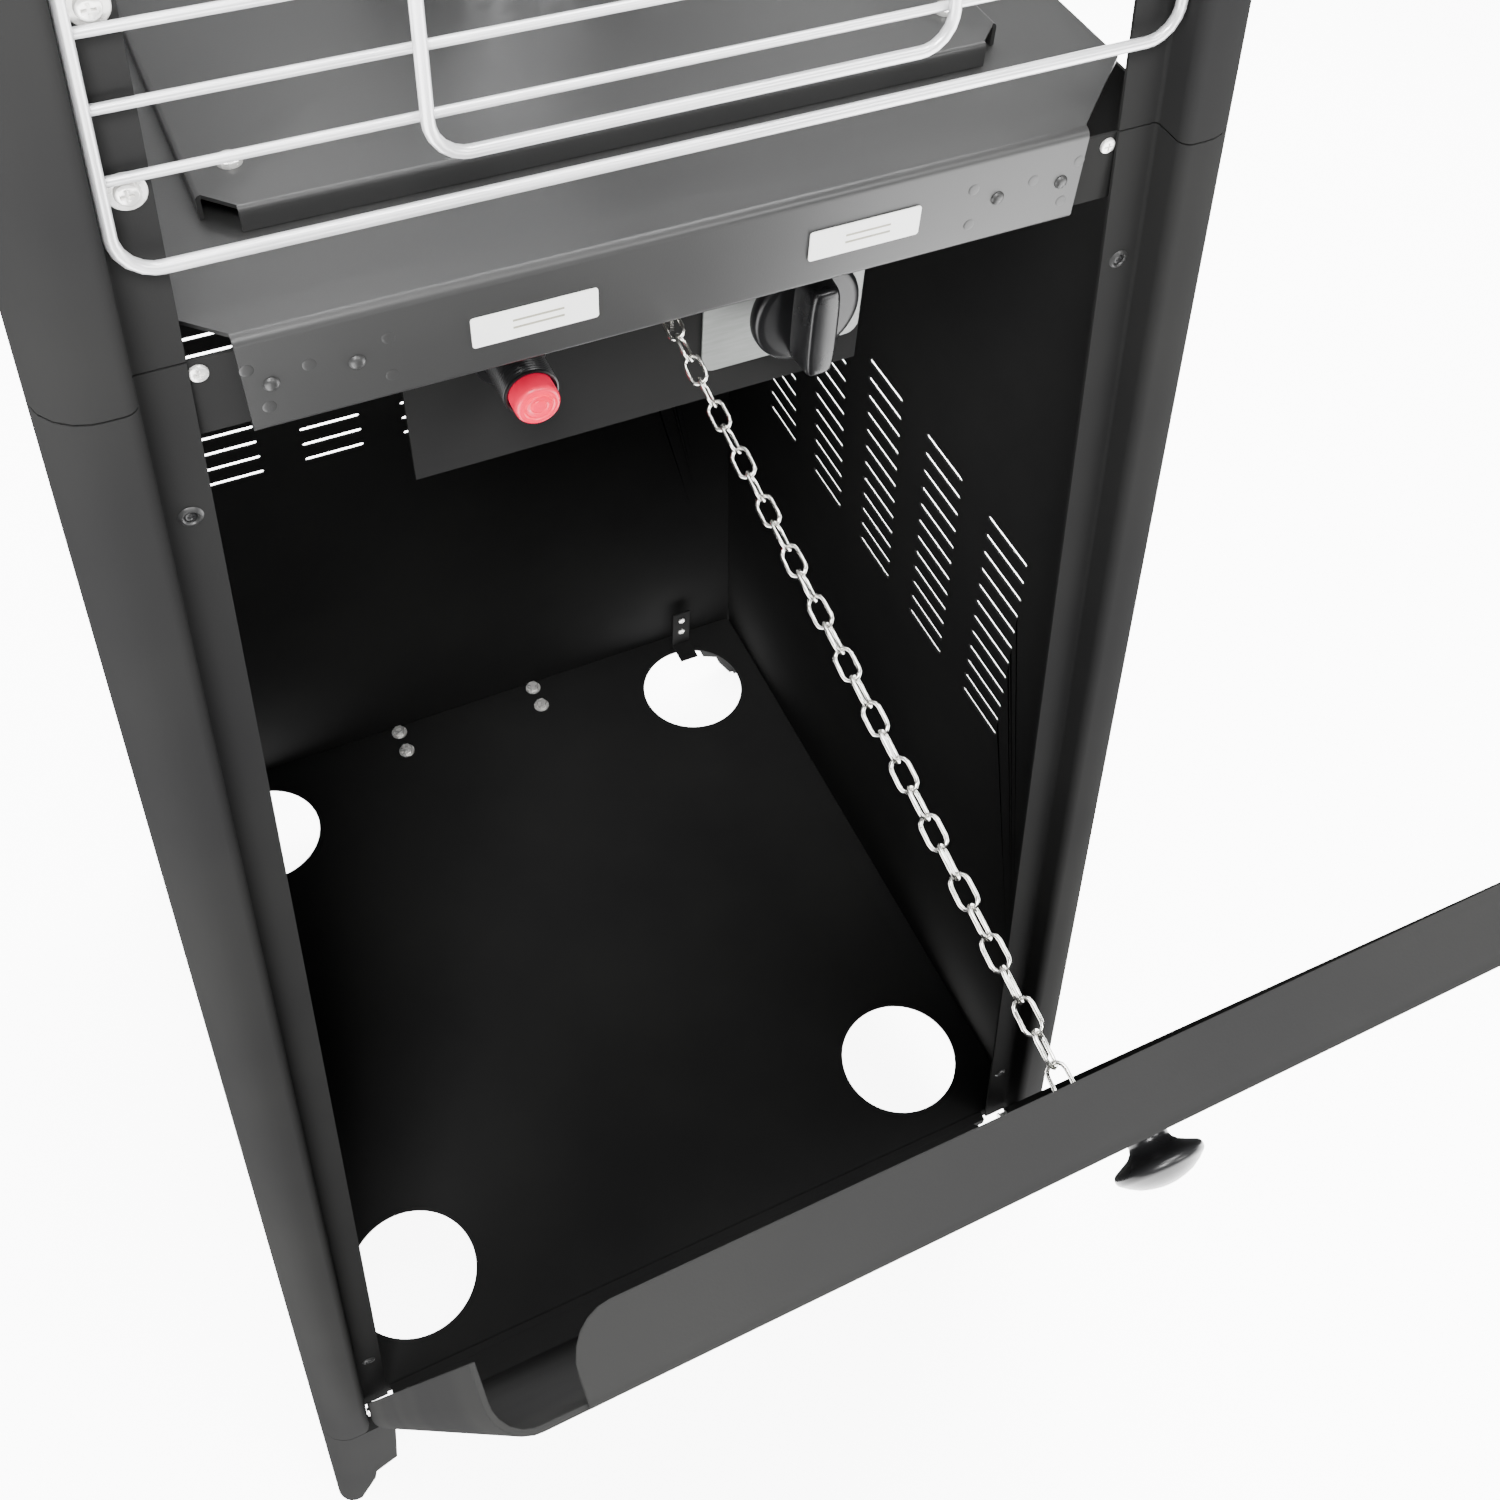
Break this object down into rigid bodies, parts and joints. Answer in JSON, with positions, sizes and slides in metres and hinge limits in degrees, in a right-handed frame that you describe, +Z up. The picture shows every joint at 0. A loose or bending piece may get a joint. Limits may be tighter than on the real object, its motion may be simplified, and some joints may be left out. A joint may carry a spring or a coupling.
{
  "type": "patio heater",
  "caption": "Free-standing square pyramid gas patio heater with a tapered cabinet, a drop-down door on a chain, a glass flame tube inside wire guards, and a flat pyramid hood.",
  "frame": {"origin": "middle of the top face of the base plate, which is the floor of the gas cabinet", "axes": "+Z up, -Y out of the front where the door opens, +X to the right for someone who stands in front and faces the door"},
  "size_m": [0.5494, 0.8433, 2.2633],
  "materials": {
    "powder_black": "satin black powder coat on sheet steel",
    "silver_wire": "satin silver coat on steel wire",
    "zinc": "bright zinc plate",
    "black_plastic": "moulded black plastic",
    "red_plastic": "moulded red plastic",
    "grey_plate": "light grey satin plate",
    "white_label": "matt white sticker",
    "steel": "bare satin stainless steel",
    "brass": "plain machined brass",
    "glass": "clear heat-proof glass",
    "rubber": "matt black solid wheel"
  },
  "bodies": {
    "cabinet": {"lower_post_front_right": "powder_black", "upper_post_front_right": "powder_black", "foot_front_right": "powder_black", "hood_bracket_front_right": "zinc", "lower_post_rear_right": "powder_black", "upper_post_rear_right": "powder_black", "foot_rear_right": "powder_black", "hood_bracket_rear_right": "zinc", "lower_post_rear_left": "powder_black", "upper_post_rear_left": "powder_black", "foot_rear_left": "powder_black", "hood_bracket_rear_left": "zinc", "lower_post_front_left": "powder_black", "upper_post_front_left": "powder_black", "foot_front_left": "powder_black", "hood_bracket_front_left": "zinc", "base_plate": "powder_black", "side_panel_right": "powder_black", "rear_panel": "powder_black", "side_panel_left": "powder_black", "deck": "powder_black", "rail_bracket_left": "powder_black", "rail_bracket_right": "powder_black", "burner_cover": "powder_black", "control_panel": "powder_black", "wheel_bracket": "powder_black", "guard_front": "silver_wire", "guard_right": "silver_wire", "guard_rear": "silver_wire", "guard_left": "silver_wire", "label_left": "white_label", "label_right": "white_label", "knob_bezel": "grey_plate", "gas_valve": "brass", "gas_pipe": "brass", "hood_cap": "zinc", "axle": "zinc", "hinge_pin_left": "zinc", "hinge_pin_right": "zinc", "chain_eye": "zinc", "igniter_body": "black_plastic", "igniter_collar": "black_plastic", "tilt_switch": "black_plastic", "burner_head": "steel", "burner_housing": "steel", "pilot_burner": "steel", "top_plate": "steel", "flame_screen": "steel", "hood": "steel", "glass_tube": "glass"},
    "door": {"door_panel": "powder_black", "door_handle": "black_plastic", "chain_anchor": "zinc"},
    "chain_upper": {"chain_upper": "steel"},
    "chain_lower": {"chain_lower": "steel"},
    "valve_stem": {"valve_stem": "zinc"},
    "knob": {"control_knob": "black_plastic"},
    "igniter_button": {"igniter_button": "red_plastic"},
    "wheel_left": {"wheel_left": "rubber"},
    "wheel_right": {"wheel_right": "rubber"}
  },
  "joints": [
    {"name": "door_hinge", "type": "hinge", "parent": "cabinet", "child": "door", "pos_m": [0, -0.258, 0.006], "axis": [1, 0, 0], "range_deg": [-20.4, 0]},
    {"name": "chain_upper_swing", "type": "hinge", "parent": "cabinet", "child": "chain_upper", "pos_m": [-0.006, -0.178, 0.752], "axis": [1, 0, 0], "range_deg": [0, 81.2]},
    {"name": "chain_lower_swing", "type": "hinge", "parent": "door", "child": "chain_lower", "pos_m": [-0.006, -0.45412, 0.69358], "axis": [1, 0, 0], "range_deg": [-66.8, 0]},
    {"name": "knob_push", "type": "slide", "parent": "cabinet", "child": "valve_stem", "axis": [0, 1, 0], "range_m": [0, 0.004], "stiffness_N_per_m": 500},
    {"name": "knob_turn", "type": "hinge", "parent": "valve_stem", "child": "knob", "pos_m": [0.064, -0.1378, 0.711], "axis": [0, -1, 0], "range_deg": [0, 180]},
    {"name": "igniter_press", "type": "slide", "parent": "cabinet", "child": "igniter_button", "axis": [0, 1, 0], "range_m": [0, 0.006], "stiffness_N_per_m": 500},
    {"name": "wheel_left_spin", "type": "hinge", "parent": "cabinet", "child": "wheel_left", "pos_m": [-0.087, 0.31, -0.064], "axis": [1, 0, 0], "continuous": true},
    {"name": "wheel_right_spin", "type": "hinge", "parent": "cabinet", "child": "wheel_right", "pos_m": [0.087, 0.31, -0.064], "axis": [1, 0, 0], "continuous": true}
  ],
  "couplings": [
    {"joint": "chain_upper_swing", "follows": "door_hinge", "ratio": -3.9737},
    {"joint": "chain_lower_swing", "follows": "door_hinge", "ratio": 3.2717}
  ]
}
